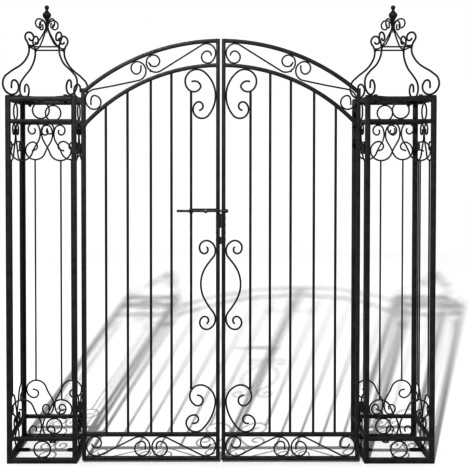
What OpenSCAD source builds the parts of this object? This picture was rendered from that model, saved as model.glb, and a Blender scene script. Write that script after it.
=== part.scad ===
/* [Pillars] */
// Width and depth of each square pillar
pillar_w = 200; // [160:1:230]
// Height of the pillar posts, without the crown
pillar_h = 1046; // [1000:1:1120]
// Distance between the centre lines of the two pillars
pillar_pitch = 1020; // [1016:1:1026]
// Side of the square corner post
post_w = 13; // [12:0.5:16]
// Wall of every square tube
tube_wall = 1.2; // [0.8:0.1:2]
// Side of the square rails that hold the scrolls
rail_w = 10; // [8:0.5:12]

/* [Crowns] */
// Side of the wire of the four crown legs
leg_wire = 4.4; // [3.6:0.1:5]
// Width of the flat cross bars under each crown
cross_bar_w = 18; // [14:1:24]
// Radius of the widest ball of the finial
finial_r = 12.3; // [9:0.1:15]

/* [Leaves] */
// Side of the square tubes of the leaf frames
frame_w = 10; // [9:0.5:11]
// Gap between the meeting stiles
leaf_gap = 6; // [5:0.5:7]
// Clearance between the leaves and the ground
ground_gap = 8; // [5:1:12]
// Height of the centre of the arches above the ground
arch_centre_z = 607; // [600:1:610]
// Radius of the outer arch, to the middle of its tube
outer_arch_r = 596.4; // [594:0.1:600]
// Radius of the inner arch, to the middle of its tube
inner_arch_r = 527.6; // [524:0.1:530]
// Diameter of the upright bars
bar_d = 6.4; // [5:0.1:8]

/* [Wire] */
// Side of the wire of the small scrolls
band_wire = 3.6; // [3:0.1:4]
// Side of the wire of the scrolls beside the meeting stiles
meeting_wire = 4.2; // [3.6:0.1:4.6]
// Diameter of the thin rods and of the rings in the pillars
rod_d = 4; // [3:0.5:5]

/* [Hinges and latch] */
// Diameter of the hinge pins
pin_d = 6; // [5:0.5:7]
// Outer diameter of the hinge barrels
barrel_d = 12; // [11:0.5:12.5]
// Height of the latch bolt above the ground
latch_z = 722; // [700:1:740]
// Diameter of the latch bolt
bolt_d = 6.5; // [6:0.5:7]

/* [Hidden] */

// Facets of the true circles
smooth = 48;
// How far a scroll's flats may lie from its true curve
curve_tolerance = 0.2;
// Overlap that stands for a weld where a round piece meets a flat one
weld = 0.15;
black = [0.08, 0.08, 0.09];
cap_black = [0.05, 0.05, 0.05];

// Pillar heights: bottom rail on the ground, then a ring and the lower rail, and the same upside down
ring_gap = 51;
lower_rail_z = post_w;
lower_rail_bottom = lower_rail_z + ring_gap;
lower_rail_top = lower_rail_bottom + rail_w;
top_rail_z = pillar_h - post_w;
upper_rail_top = top_rail_z - ring_gap;
upper_rail_bottom = upper_rail_top - rail_w;
post_axis = (pillar_w - post_w) / 2;
inner_half = pillar_w / 2 - post_w;
ring_r = (ring_gap - rod_d) / 2 + weld;
rod_offset = 56;
rod_inset = 109.4;

// Anchor lugs, low on the inner side of the bottom rails
lug_w = 20;
lug_t = 3;
lug_hole_r = 5;
lug_circle_r = 65;

// Crown, in the diagonal planes of the pillar
bar_t = 4;
crown_z = pillar_h + bar_t;
bolt_circle_r = 92;
crown_bolt_r = 3;
bolt_hole_r = 3.2;
bolt_length = 25;
bolt_head_t = 4;
bolt_head_r = 5.8;
nut_t = 5;
tab_t = 3;
tab_start = 78;
ring_half = 42;
ring_wire = 4;
ring_corner_r = 6;
crown_ring_z = 1193.4 - 1046 + pillar_h;
stem_r = 1.5;
stem_z = 1240 - 1046 + pillar_h;
cup_z = 1266 - 1046 + pillar_h;
cup_h = 15;
cup_r = 7;
finial_z = 1291.5 - 1046 + pillar_h;
neck_r = 3.8;
top_ball_r = 6.2;
top_z = 1320 - 1046 + pillar_h;

// Leaves: the plane of the frames and the faces of the stiles, for the leaf on the +X side
leaf_y = -post_axis;
post_face_x = pillar_pitch / 2 - pillar_w / 2;
hinge_gap = 14.7;
hinge_x = post_face_x - hinge_gap / 2;
hinge_face_x = post_face_x - hinge_gap;
hinge_inner_x = hinge_face_x - frame_w;
meet_face_x = leaf_gap / 2;
meet_inner_x = meet_face_x + frame_w;
leaf_middle_x = (hinge_inner_x + meet_inner_x) / 2;
cap_t = 1.5;
stile_z = ground_gap + cap_t;
lower_cross_z = 77;
hinge_stile_top = arch_centre_z
  + sqrt(pow(outer_arch_r + frame_w / 2, 2) - pow(hinge_inner_x, 2)) - cap_t;
meet_stile_top = arch_centre_z + outer_arch_r + frame_w / 2 - cap_t;
long_bars = [140, 198.5, 264.5, 326];
short_bar = 84.2;
short_bar_z = [217.4, 1057.5];

// Hinges: heights of their centres, and the pieces stacked on each pin
hinge_z = [161, 898];
hinge_h = 29;
bracket_h = 7;
thrust_gap = 0.1;
pin_play = 0.05;
bracket_w = 10;
barrel_lug_w = 8;
pin_rise = 1.5;

// Latch, in front of the stiles
stile_front_y = leaf_y - frame_w / 2;
bar_front_y = leaf_y - bar_d / 2;
latch_y = stile_front_y - 3.7;
bolt_play = 0.05;
bolt_end_x = 0;
handle_x = 125;
handle_eye_r = 7.5;
handle_hole_r = 4;
handle_t = 5.6;
collar_x = 43;
collar_r = 6;
collar_w = 8;
guide_w = 10;
guide_h = 12;
guide_front = 4.2;
strap_t = 3;
strap_h = 7;
strap_z = latch_z + 2.5;
keeper_gap = 1.2;
keeper_length = 14.5;
keeper_r = 4.9;
keeper_ball_r = 5.2;
keeper_bore = 17;
keeper_pad_h = 18;
strike_t = 2;
strike_z = [628, 714];
strike_reach = 1.6;
strike_gap = 0.3;
slot_z = [648, 674];

// A bend is [radius, angle], and [0, length] is a straight stretch. A state is [point, heading].
// Half of the heart on a pillar face: across from the middle of the face, and away from the rail
heart_start = [[18.5, 16.6], 134];
heart_bends = [
  [9, -176], [15.9, -206], [49.1, -56], [134.3, 14], [31.5, -119],
  [26.6, -110], [14.5, -95], [11, -91], [0, 9]
];
// Crown leg: distance from the pillar's axis along the diagonal, and height above the post tops
leg_start = [[120.2, 25], 85];
leg_bends = [
  [63.6, 14], [9.1, 120], [22.4, 154], [31.2, 128], [219.3, 11],
  [84.7, -36], [39.2, -67], [14.4, 229], [8.1, 158]
];
// Upper crown scroll, from the ring to the stem and out again
upper_start = [[59.4, 151.6], -171];
upper_bends = [
  [27, -55], [163.5, -15], [0, 8.3], [20.8, -132], [13.2, -179], [3.9, -71], [18.8, -36]
];
// Leaf scrolls, for the leaf on the -X side
low_band_start = [[-368.4, 53.9], -77];
low_band_bends = [
  [13.9, 176], [19, 110], [28.3, 177.7], [0, 109.3],
  [29.6, -149.7], [21, -227], [11.2, -100], [232.4, -3]
];
arch_band_1_start = [[-368, 1022.2], 95];
arch_band_1_bends = [
  [70.7, -15], [9.9, -91], [19.6, -199], [29.1, -138], [1228.7, -3],
  [637.2, 6], [27.2, 147], [17.9, 171], [12.1, 107], [58.3, 14]
];
arch_band_2_start = [[-203.9, 1142.9], -78];
arch_band_2_bends = [
  [15.5, 196], [18.7, 129], [26.7, 145], [0, 137.2],
  [25.4, -117], [33.1, -54], [17.2, -210], [11.4, -104]
];
meet_top_start = [[-82.4, 1088], 25];
meet_top_bends = [
  [18.4, -103], [3, -32], [21.1, -117], [33.5, -173], [86.9, -89], [25, -189], [12, -214]
];
meet_middle_start = [[-39.7, 618.6], -43.3];
meet_middle_bends = [
  [10.9, -185], [20.2, -161], [30, -96], [158.2, -6], [116.1, 12],
  [92.7, 56], [196.8, 13], [32.2, -96], [19.5, -173], [11, -189]
];
meet_low_start = [[-66.9, 194.3], 5];
meet_low_bends = [
  [15.1, -217], [31.1, -173], [50.2, -74], [127.6, -36],
  [28, -103], [23.1, -121], [12.2, -204]
];

// The state at the end of one bend
function turned(state, bend) =
  let (p = state[0], h = state[1], r = bend[0], a = bend[1])
  r == 0 ? [p + a * [cos(h), sin(h)], h]
         : [p + sign(a) * r * [sin(h + a) - sin(h), cos(h) - cos(h + a)], h + a];

// How many flats a bend takes
function flats(bend) =
  bend[0] == 0 ? 1 : ceil(abs(bend[1]) / (2 * acos(1 - curve_tolerance / bend[0])));

// The states along a chain of bends
function along(state, bends, i = 0) =
  i == len(bends) ? [state]
  : let (b = bends[i], n = flats(b))
    concat(
      [for (k = [0:n - 1]) turned(state, [b[0], b[1] * k / n])],
      along(turned(state, b), bends, i + 1)
    );

// Points a distance to the left of a chain of states
function beside(states, off) = [for (s = states) s[0] + off * [-sin(s[1]), cos(s[1])]];

function reversed(list) = [for (i = [len(list) - 1:-1:0]) list[i]];

// Square wire bent along a chain of bends, in the XY plane
module bent_wire(start, bends, side) {
  states = along(start, bends);
  linear_extrude(side, center = true)
    polygon(concat(beside(states, side / 2), reversed(beside(states, -side / 2))));
}

// Stands a flat shape up in the XZ plane
module upright() {
  rotate([90, 0, 0]) children();
}

module on_both_sides() {
  children();
  mirror([1, 0, 0]) children();
}

module on_four_faces() {
  for (turn = [0:90:270]) rotate([0, 0, turn]) children();
}

module on_four_corners() {
  for (turn = [45:90:315]) rotate([0, 0, turn]) children();
}

// Upright square tube centred on the Z axis
module square_tube(side, length) {
  linear_extrude(length) difference() {
    square(side, center = true);
    square(side - 2 * tube_wall, center = true);
  }
}

// Square tube along X, centred on the Z axis, standing on z = 0
module rail(side, length) {
  translate([-length / 2, 0, side / 2]) rotate([0, 90, 0]) square_tube(side, length);
}

// Moves a pillar or a leaf to its side of the gate: -1 is left, 1 is right
module at_pillar(side) {
  translate([side * pillar_pitch / 2, 0, 0]) children();
}

module leaf_side(side) {
  if (side > 0) children();
  else mirror([1, 0, 0]) children();
}

// ---- Pillar, around its own axis ----

module pillar_posts() {
  color(black) for (x = [-1, 1], y = [-1, 1])
    translate([x * post_axis, y * post_axis, 0]) square_tube(post_w, pillar_h);
}

module pillar_rails(side, z) {
  color(black) on_four_faces()
    translate([0, -post_axis, z]) rail(side, 2 * inner_half);
}

module pillar_rings() {
  color(black) on_four_faces()
    for (z = [lower_rail_z + ring_gap / 2, top_rail_z - ring_gap / 2])
      translate([0, -post_axis, z]) upright()
        rotate_extrude($fn = smooth) translate([ring_r, 0]) circle(d = rod_d, $fn = smooth);
}

module pillar_scrolls() {
  color(black) on_four_faces() translate([0, -post_axis, 0]) upright() on_both_sides() {
    translate([0, lower_rail_top]) bent_wire(heart_start, heart_bends, band_wire);
    translate([0, upper_rail_bottom]) mirror([0, 1, 0])
      bent_wire(heart_start, heart_bends, band_wire);
  }
}

module pillar_rods() {
  bottom = lower_rail_top + rod_inset;
  color(black) on_four_faces() on_both_sides()
    translate([rod_offset, -post_axis, bottom])
      cylinder(d = rod_d, h = upper_rail_bottom - rod_inset - bottom, $fn = smooth);
}

module pillar_anchor_lugs() {
  color(black) on_four_faces() difference() {
    union() {
      translate([-lug_w / 2, -inner_half, 0])
        cube([lug_w, inner_half - lug_circle_r, lug_t]);
      translate([0, -lug_circle_r, 0]) cylinder(d = lug_w, h = lug_t, $fn = smooth);
    }
    translate([0, -lug_circle_r, -1]) cylinder(r = lug_hole_r, h = lug_t + 2, $fn = smooth);
  }
}

// side is -1 for a pillar whose leaf hangs on its +X face
module pillar_hinge_pins(side) {
  axis_x = -side * (pillar_w / 2 + hinge_gap / 2);
  color(black) for (z = hinge_z) translate([axis_x, leaf_y, z - hinge_h / 2]) {
    cylinder(d = barrel_d, h = bracket_h, $fn = smooth);
    translate([side > 0 ? 0 : -hinge_gap / 2, -bracket_w / 2, 0])
      cube([hinge_gap / 2, bracket_w, bracket_h]);
    cylinder(d = pin_d, h = hinge_h + pin_rise, $fn = smooth);
  }
}

// ---- Crown, around the pillar's axis ----

// Flat plates in the corners of the top rails, level with their undersides
module crown_tabs() {
  color(black) on_four_corners() translate([0, 0, top_rail_z]) difference() {
    intersection() {
      translate([tab_start, -lug_w / 2, 0]) cube([pillar_w, lug_w, tab_t]);
      rotate([0, 0, 45]) translate([-inner_half, -inner_half, 0])
        cube([2 * inner_half, 2 * inner_half, tab_t]);
    }
    translate([bolt_circle_r, 0, -1]) cylinder(r = bolt_hole_r, h = tab_t + 2, $fn = smooth);
  }
}

module crown_cross_bars() {
  color(black) translate([0, 0, pillar_h]) difference() {
    intersection() {
      union() for (turn = [45, 135]) rotate([0, 0, turn])
        translate([-pillar_w, -cross_bar_w / 2, 0]) cube([2 * pillar_w, cross_bar_w, bar_t]);
      translate([1 - pillar_w / 2, 1 - pillar_w / 2, 0])
        cube([pillar_w - 2, pillar_w - 2, bar_t]);
    }
    on_four_corners() translate([bolt_circle_r, 0, -1])
      cylinder(r = bolt_hole_r, h = bar_t + 2, $fn = smooth);
  }
}

module crown_bolts() {
  color(black) on_four_corners() translate([bolt_circle_r, 0, 0]) {
    translate([0, 0, crown_z - bolt_length])
      cylinder(r = crown_bolt_r, h = bolt_length, $fn = smooth);
    translate([0, 0, crown_z]) cylinder(r = bolt_head_r, h = bolt_head_t, $fn = 6);
    translate([0, 0, top_rail_z - nut_t]) cylinder(r = bolt_head_r, h = nut_t, $fn = 6);
  }
}

module crown_legs() {
  color(black) on_four_corners() translate([0, 0, pillar_h]) upright()
    bent_wire(leg_start, leg_bends, leg_wire);
}

module rounded_square(half, r) {
  square([2 * half, 2 * (half - r)], center = true);
  square([2 * (half - r), 2 * half], center = true);
  for (x = [-1, 1], y = [-1, 1])
    translate([x * (half - r), y * (half - r)]) circle(r, $fn = smooth);
}

module crown_ring() {
  outer = ring_half + ring_wire / 2;
  color(black) translate([0, 0, crown_ring_z - ring_wire / 2]) difference() {
    linear_extrude(ring_wire) rounded_square(outer, ring_corner_r);
    translate([0, 0, -1]) linear_extrude(ring_wire + 2)
      rounded_square(outer - ring_wire, ring_corner_r - ring_wire);
  }
}

module crown_upper_scrolls() {
  color(black) on_four_corners() translate([0, 0, pillar_h]) upright()
    bent_wire(upper_start, upper_bends, band_wire);
}

module crown_stem() {
  color(black) {
    translate([0, 0, stem_z]) cylinder(r = stem_r, h = cup_z - stem_z + 1, $fn = smooth);
    translate([0, 0, cup_z]) cylinder(r1 = stem_r, r2 = cup_r, h = cup_h, $fn = smooth);
  }
}

module crown_finial() {
  neck_z = finial_z + finial_r / 2;
  ball_z = top_z - top_ball_r;
  color(black) {
    difference() {
      translate([0, 0, finial_z]) sphere(finial_r, $fn = smooth);
      translate([-pillar_w / 2, -pillar_w / 2, cup_z + cup_h - pillar_w])
        cube(pillar_w);
    }
    translate([0, 0, neck_z]) cylinder(r = neck_r, h = ball_z - neck_z, $fn = smooth);
    translate([0, 0, ball_z]) sphere(top_ball_r, $fn = smooth);
  }
}

// ---- Leaf, as the one on the +X side ----

module leaf_hinge_stile() {
  color(black) translate([hinge_inner_x + frame_w / 2, leaf_y, stile_z])
    square_tube(frame_w, hinge_stile_top - stile_z);
}

module leaf_meeting_stile() {
  color(black) translate([meet_face_x + frame_w / 2, leaf_y, stile_z])
    square_tube(frame_w, meet_stile_top - stile_z);
}

// Plastic caps: a flat head on the tube's end and a plug inside it
module stile_cap() {
  plug_w = frame_w - 2 * tube_wall - 0.2;
  plug_h = 8;
  translate([-frame_w / 2, -frame_w / 2, 0]) cube([frame_w, frame_w, cap_t]);
  translate([-plug_w / 2, -plug_w / 2, -plug_h]) cube([plug_w, plug_w, plug_h]);
}

module leaf_stile_caps() {
  color(cap_black)
    for (end = [[hinge_inner_x, hinge_stile_top], [meet_face_x, meet_stile_top]])
      translate([end[0] + frame_w / 2, leaf_y, 0]) {
        translate([0, 0, end[1]]) stile_cap();
        translate([0, 0, stile_z]) mirror([0, 0, 1]) stile_cap();
      }
}

// Square tube bent round the centre of the arches and cut off at the stiles
module leaf_arch(r) {
  start_angle = 45;
  color(black) intersection() {
    translate([0, leaf_y, arch_centre_z]) upright() rotate([0, 0, start_angle])
      rotate_extrude(angle = 90 - start_angle, $fn = 360) translate([r, 0]) difference() {
        square(frame_w, center = true);
        square(frame_w - 2 * tube_wall, center = true);
      }
    translate([meet_inner_x, leaf_y - frame_w, arch_centre_z])
      cube([hinge_inner_x - meet_inner_x, 2 * frame_w, 2 * r]);
  }
}

module leaf_cross_rails() {
  color(black) for (z = [ground_gap, lower_cross_z])
    translate([leaf_middle_x, leaf_y, z]) rail(frame_w, hinge_inner_x - meet_inner_x);
}

// What lies below the inner arch: its circle, and a block down from the centre
module under_the_arch() {
  circle(inner_arch_r - frame_w / 2, $fn = 360);
  translate([-hinge_face_x, -arch_centre_z]) square([2 * hinge_face_x, arch_centre_z]);
}

module leaf_bars() {
  bar_z = lower_cross_z + frame_w;
  color(black) {
    intersection() {
      for (x = long_bars) translate([x, leaf_y, bar_z])
        cylinder(d = bar_d, h = 2 * inner_arch_r, $fn = smooth);
      translate([0, leaf_y + frame_w, arch_centre_z]) upright() linear_extrude(2 * frame_w)
        under_the_arch();
    }
    translate([short_bar, leaf_y, short_bar_z[0]])
      cylinder(d = bar_d, h = short_bar_z[1] - short_bar_z[0], $fn = smooth);
  }
}

// The scrolls are listed for the -X side, so a leaf on the +X side mirrors them
module leaf_band_scrolls() {
  color(black) mirror([1, 0, 0]) translate([0, leaf_y, 0]) upright() {
    bent_wire(low_band_start, low_band_bends, band_wire);
    translate([-2 * leaf_middle_x, 0]) mirror([1, 0, 0])
      bent_wire(low_band_start, low_band_bends, band_wire);
    bent_wire(arch_band_1_start, arch_band_1_bends, band_wire);
    bent_wire(arch_band_2_start, arch_band_2_bends, band_wire);
  }
}

module leaf_meeting_scrolls() {
  color(black) mirror([1, 0, 0]) translate([0, leaf_y, 0]) upright() {
    bent_wire(meet_top_start, meet_top_bends, meeting_wire);
    bent_wire(meet_middle_start, meet_middle_bends, meeting_wire);
    bent_wire(meet_low_start, meet_low_bends, meeting_wire);
  }
}

module leaf_hinge_barrels() {
  z0 = bracket_h + thrust_gap - hinge_h / 2;
  height = hinge_h - bracket_h - thrust_gap;
  color(black) for (z = hinge_z) translate([hinge_x, leaf_y, z + z0]) difference() {
    union() {
      cylinder(d = barrel_d, h = height, $fn = smooth);
      translate([-hinge_gap / 2, -barrel_lug_w / 2, 0])
        cube([hinge_gap / 2, barrel_lug_w, height]);
    }
    translate([0, 0, -1]) cylinder(r = pin_d / 2 + pin_play, h = height + 2, $fn = smooth);
  }
}

// ---- Latch ----

// Lays a shape whose axis is Z along +X
module along_x() {
  rotate([0, 90, 0]) children();
}

module latch_bolt() {
  eye_x = -handle_x + handle_eye_r;
  color(black) translate([0, latch_y, latch_z]) {
    translate([eye_x + handle_hole_r + 1, 0, 0]) along_x()
      cylinder(d = bolt_d, h = bolt_end_x - eye_x - handle_hole_r - 1, $fn = smooth);
    translate([-collar_x - collar_w / 2, 0, 0]) along_x()
      cylinder(r = collar_r, h = collar_w, $fn = smooth);
    translate([eye_x, 0, -handle_t / 2]) difference() {
      cylinder(r = handle_eye_r, h = handle_t, $fn = smooth);
      translate([0, 0, -1]) cylinder(r = handle_hole_r, h = handle_t + 2, $fn = smooth);
    }
  }
}

// One bored block, from its front face back to what it is welded to
module guide_block(x, back_y) {
  difference() {
    translate([x - guide_w / 2, latch_y - guide_front, latch_z - guide_h / 2])
      cube([guide_w, back_y - latch_y + guide_front, guide_h]);
    translate([x - guide_w, latch_y, latch_z]) along_x()
      cylinder(r = bolt_d / 2 + bolt_play, h = 2 * guide_w, $fn = smooth);
  }
}

// Guides on the short bar and on the left meeting stile, and the strap between them
module latch_guides() {
  strap_x = short_bar - bar_d / 2;
  color(black) {
    guide_block(-short_bar, bar_front_y);
    guide_block(-meet_face_x - frame_w / 2, stile_front_y);
    translate([-strap_x, leaf_y - strap_t / 2, strap_z - strap_h / 2])
      cube([strap_x - meet_inner_x, strap_t, strap_h]);
  }
}

module latch_strike_plate() {
  color(black) difference() {
    translate([-meet_inner_x, stile_front_y - strike_t, strike_z[0]])
      cube([meet_inner_x + strike_reach, strike_t, strike_z[1] - strike_z[0]]);
    translate([-meet_face_x, stile_front_y - strike_t - 1, slot_z[0]])
      cube([meet_face_x + strike_reach + 1, strike_t + 2, slot_z[1] - slot_z[0]]);
  }
}

// Socket on the right leaf that takes the end of the bolt, with a ball end, and its half of the strike plate
module latch_keeper() {
  ball_x = keeper_gap + keeper_length;
  color(black) difference() {
    union() {
      translate([keeper_gap, latch_y, latch_z]) along_x()
        cylinder(r = keeper_r, h = keeper_length, $fn = smooth);
      translate([ball_x, latch_y, latch_z]) sphere(keeper_ball_r, $fn = smooth);
      translate([meet_face_x, latch_y, latch_z - keeper_pad_h / 2])
        cube([frame_w, stile_front_y - latch_y, keeper_pad_h]);
      translate([strike_reach + strike_gap, stile_front_y - strike_t, strike_z[0]])
        cube([meet_inner_x - strike_reach - strike_gap, strike_t, strike_z[1] - strike_z[0]]);
    }
    translate([0, latch_y, latch_z]) along_x()
      cylinder(r = bolt_d / 2 + bolt_play, h = keeper_bore, $fn = smooth);
    translate([meet_face_x, stile_front_y, latch_z - keeper_pad_h])
      cube([frame_w, frame_w, 2 * keeper_pad_h]);
  }
}

at_pillar(-1) pillar_posts();  // left_pillar_posts
at_pillar(-1) pillar_rails(post_w, top_rail_z);  // left_pillar_top_rails
at_pillar(-1) pillar_rails(rail_w, upper_rail_bottom);  // left_pillar_upper_rails
at_pillar(-1) pillar_rails(rail_w, lower_rail_bottom);  // left_pillar_lower_rails
at_pillar(-1) pillar_rails(post_w, 0);  // left_pillar_bottom_rails
at_pillar(-1) pillar_rings();  // left_pillar_rings
at_pillar(-1) pillar_scrolls();  // left_pillar_scrolls
at_pillar(-1) pillar_rods();  // left_pillar_rods
at_pillar(-1) pillar_anchor_lugs();  // left_pillar_anchor_lugs
at_pillar(-1) pillar_hinge_pins(-1);  // left_pillar_hinge_pins
at_pillar(-1) crown_tabs();  // left_crown_tabs
at_pillar(-1) crown_cross_bars();  // left_crown_cross_bars
at_pillar(-1) crown_bolts();  // left_crown_bolts
at_pillar(-1) crown_legs();  // left_crown_legs
at_pillar(-1) crown_ring();  // left_crown_ring
at_pillar(-1) crown_upper_scrolls();  // left_crown_upper_scrolls
at_pillar(-1) crown_stem();  // left_crown_stem
at_pillar(-1) crown_finial();  // left_crown_finial
at_pillar(1) pillar_posts();  // right_pillar_posts
at_pillar(1) pillar_rails(post_w, top_rail_z);  // right_pillar_top_rails
at_pillar(1) pillar_rails(rail_w, upper_rail_bottom);  // right_pillar_upper_rails
at_pillar(1) pillar_rails(rail_w, lower_rail_bottom);  // right_pillar_lower_rails
at_pillar(1) pillar_rails(post_w, 0);  // right_pillar_bottom_rails
at_pillar(1) pillar_rings();  // right_pillar_rings
at_pillar(1) pillar_scrolls();  // right_pillar_scrolls
at_pillar(1) pillar_rods();  // right_pillar_rods
at_pillar(1) pillar_anchor_lugs();  // right_pillar_anchor_lugs
at_pillar(1) pillar_hinge_pins(1);  // right_pillar_hinge_pins
at_pillar(1) crown_tabs();  // right_crown_tabs
at_pillar(1) crown_cross_bars();  // right_crown_cross_bars
at_pillar(1) crown_bolts();  // right_crown_bolts
at_pillar(1) crown_legs();  // right_crown_legs
at_pillar(1) crown_ring();  // right_crown_ring
at_pillar(1) crown_upper_scrolls();  // right_crown_upper_scrolls
at_pillar(1) crown_stem();  // right_crown_stem
at_pillar(1) crown_finial();  // right_crown_finial
leaf_side(-1) leaf_hinge_stile();  // left_leaf_hinge_stile
leaf_side(-1) leaf_meeting_stile();  // left_leaf_meeting_stile
leaf_side(-1) leaf_stile_caps();  // left_leaf_stile_caps
leaf_side(-1) leaf_arch(outer_arch_r);  // left_leaf_outer_arch
leaf_side(-1) leaf_arch(inner_arch_r);  // left_leaf_inner_arch
leaf_side(-1) leaf_cross_rails();  // left_leaf_cross_rails
leaf_side(-1) leaf_bars();  // left_leaf_bars
leaf_side(-1) leaf_band_scrolls();  // left_leaf_band_scrolls
leaf_side(-1) leaf_meeting_scrolls();  // left_leaf_meeting_scrolls
leaf_side(-1) leaf_hinge_barrels();  // left_leaf_hinge_barrels
leaf_side(1) leaf_hinge_stile();  // right_leaf_hinge_stile
leaf_side(1) leaf_meeting_stile();  // right_leaf_meeting_stile
leaf_side(1) leaf_stile_caps();  // right_leaf_stile_caps
leaf_side(1) leaf_arch(outer_arch_r);  // right_leaf_outer_arch
leaf_side(1) leaf_arch(inner_arch_r);  // right_leaf_inner_arch
leaf_side(1) leaf_cross_rails();  // right_leaf_cross_rails
leaf_side(1) leaf_bars();  // right_leaf_bars
leaf_side(1) leaf_band_scrolls();  // right_leaf_band_scrolls
leaf_side(1) leaf_meeting_scrolls();  // right_leaf_meeting_scrolls
leaf_side(1) leaf_hinge_barrels();  // right_leaf_hinge_barrels
latch_bolt();
latch_guides();
latch_strike_plate();
latch_keeper();
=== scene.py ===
"""The looks of an arched double garden gate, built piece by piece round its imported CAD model.

Lengths are in millimetres in the gate's own frame, and each piece becomes metres when it is made.
"""

import math
import random

import bpy
from mathutils import Matrix, Vector
from mathutils.geometry import tessellate_polygon


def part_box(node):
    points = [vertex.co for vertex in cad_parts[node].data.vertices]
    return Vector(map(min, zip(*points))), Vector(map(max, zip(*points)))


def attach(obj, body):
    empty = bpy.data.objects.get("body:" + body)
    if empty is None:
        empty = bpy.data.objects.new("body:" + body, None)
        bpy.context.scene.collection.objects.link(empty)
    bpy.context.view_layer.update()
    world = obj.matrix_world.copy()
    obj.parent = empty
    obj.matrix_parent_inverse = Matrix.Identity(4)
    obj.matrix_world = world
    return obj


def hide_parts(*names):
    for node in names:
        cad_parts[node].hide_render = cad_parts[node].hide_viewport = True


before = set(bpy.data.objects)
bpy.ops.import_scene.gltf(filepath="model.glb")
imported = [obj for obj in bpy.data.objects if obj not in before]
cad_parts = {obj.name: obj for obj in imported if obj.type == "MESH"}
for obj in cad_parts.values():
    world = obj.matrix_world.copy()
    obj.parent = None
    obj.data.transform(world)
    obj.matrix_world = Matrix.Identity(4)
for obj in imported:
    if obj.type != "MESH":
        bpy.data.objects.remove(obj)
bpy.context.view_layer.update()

MM = 0.001
STEEL_SLOT = "black_powder_coat"
PLASTIC_SLOT = "black_plastic_cap"
FINISH_NAMES = {STEEL_SLOT: "steel", PLASTIC_SLOT: "plastic"}
SHARP_ANGLE = 38

# ---- Places ----


def at(x, y, z):
    return Matrix.Translation((x, y, z))


def turned(degrees, axis="Z"):
    return Matrix.Rotation(math.radians(degrees), 4, axis)


IDENTITY = Matrix.Identity(4)
UPRIGHT = turned(90, "X")
ALONG_X = turned(90, "Y")
MIRROR_X = Matrix.Scale(-1, 4, (1, 0, 0))
MIRROR_Z = Matrix.Scale(-1, 4, (0, 0, 1))
FOUR_FACES = [turned(90 * k) for k in range(4)]
FOUR_CORNERS = [turned(45 + 90 * k) for k in range(4)]


def cad_mm(node):
    """Lowest and highest corner of a CAD node, in millimetres."""
    low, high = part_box(node)
    return low / MM, high / MM


# ---- Sizes of the pillars ----
post_low, post_high = cad_mm("left_pillar_posts")
top_rail_low, top_rail_high = cad_mm("left_pillar_top_rails")
upper_low = cad_mm("left_pillar_upper_rails")[0]
lower_low, lower_high = cad_mm("left_pillar_lower_rails")
ring_low, ring_high = cad_mm("left_pillar_rings")
rod_low, rod_high = cad_mm("left_pillar_rods")
PILLAR_H = post_high.z
PILLAR_HALF = (post_high.x - post_low.x) / 2
PILLAR_X = {"left": (post_low.x + post_high.x) / 2}
PILLAR_X["right"] = -PILLAR_X["left"]
POST_W = top_rail_high.z - top_rail_low.z
RAIL_W = lower_high.z - lower_low.z
WALL = 1.2
POST_AXIS = PILLAR_HALF - POST_W / 2
INNER_HALF = PILLAR_HALF - POST_W
RAIL_BURIED = 1.0
ROD_R = 2.0
RING_R = 23.65
RING_Z = [ring_low.z + RING_R + ROD_R, ring_high.z - RING_R - ROD_R]
ROD_OFFSET = 56
LUG_W = 20
LUG_T = 3
LUG_CIRCLE_R = 65
LUG_HOLE_R = 5

# ---- Sizes of the crowns ----
CROSS_BAR_W = 18
CROSS_BAR_T = 4
CROWN_Z = PILLAR_H + CROSS_BAR_T
BOLT_CIRCLE_R = 92
BOLT_R = 3
BOLT_HOLE_R = 3.2
BOLT_BOTTOM = 1025
HEX_R = 5.8
HEAD_T = 4
WASHER_T = 0.8
NUT_T = 5
THREAD_PITCH = 1.25
TAB_T = 3
TAB_START = 78
ring_box = cad_mm("left_crown_ring")
CROWN_RING_Z = (ring_box[0].z + ring_box[1].z) / 2
CROWN_RING_HALF = 42
CROWN_RING_CORNER = 6
RING_CORNER_R = (CROWN_RING_HALF - CROWN_RING_CORNER) * math.sqrt(2) + CROWN_RING_CORNER
CROWN_WIRE_R = 2.0
LEG_WIRE_R = 2.45

# ---- Sizes of the leaves, as the one on the +X side ----
stile_low, stile_high = cad_mm("right_leaf_hinge_stile")
meet_low, meet_high = cad_mm("right_leaf_meeting_stile")
FRAME_W = stile_high.x - stile_low.x
LEAF_Y = (stile_low.y + stile_high.y) / 2
STILE_X = (stile_low.x + stile_high.x) / 2
MEET_X = (meet_low.x + meet_high.x) / 2
STILE_INNER = stile_low.x
MEET_INNER = meet_high.x
LEAF_MIDDLE = (STILE_INNER + MEET_INNER) / 2
CROSS_RAIL_Z = [cad_mm("right_leaf_cross_rails")[0].z, 77]
ARCH_Z = 607
OUTER_ARCH_R = 596.4
INNER_ARCH_R = 527.6
BAR_R = 3.2
LONG_BARS = [140, 198.5, 264.5, 326]
SHORT_BAR = 84.2
SHORT_BAR_Z = [212, 1060]
BAND_WIRE_R = 1.95
MEETING_WIRE_R = 2.3
CAP_T = 1.5
CAP_PLUG_H = 7

# ---- Sizes of the hinges ----
HINGE_X = 402.65
HINGE_GAP = 14.7
HINGE_Z = [161, 898]
HINGE_H = 29
BRACKET_H = 7
BARREL_R = 6
PIN_R = 3
BORE_R = 3.05

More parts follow.
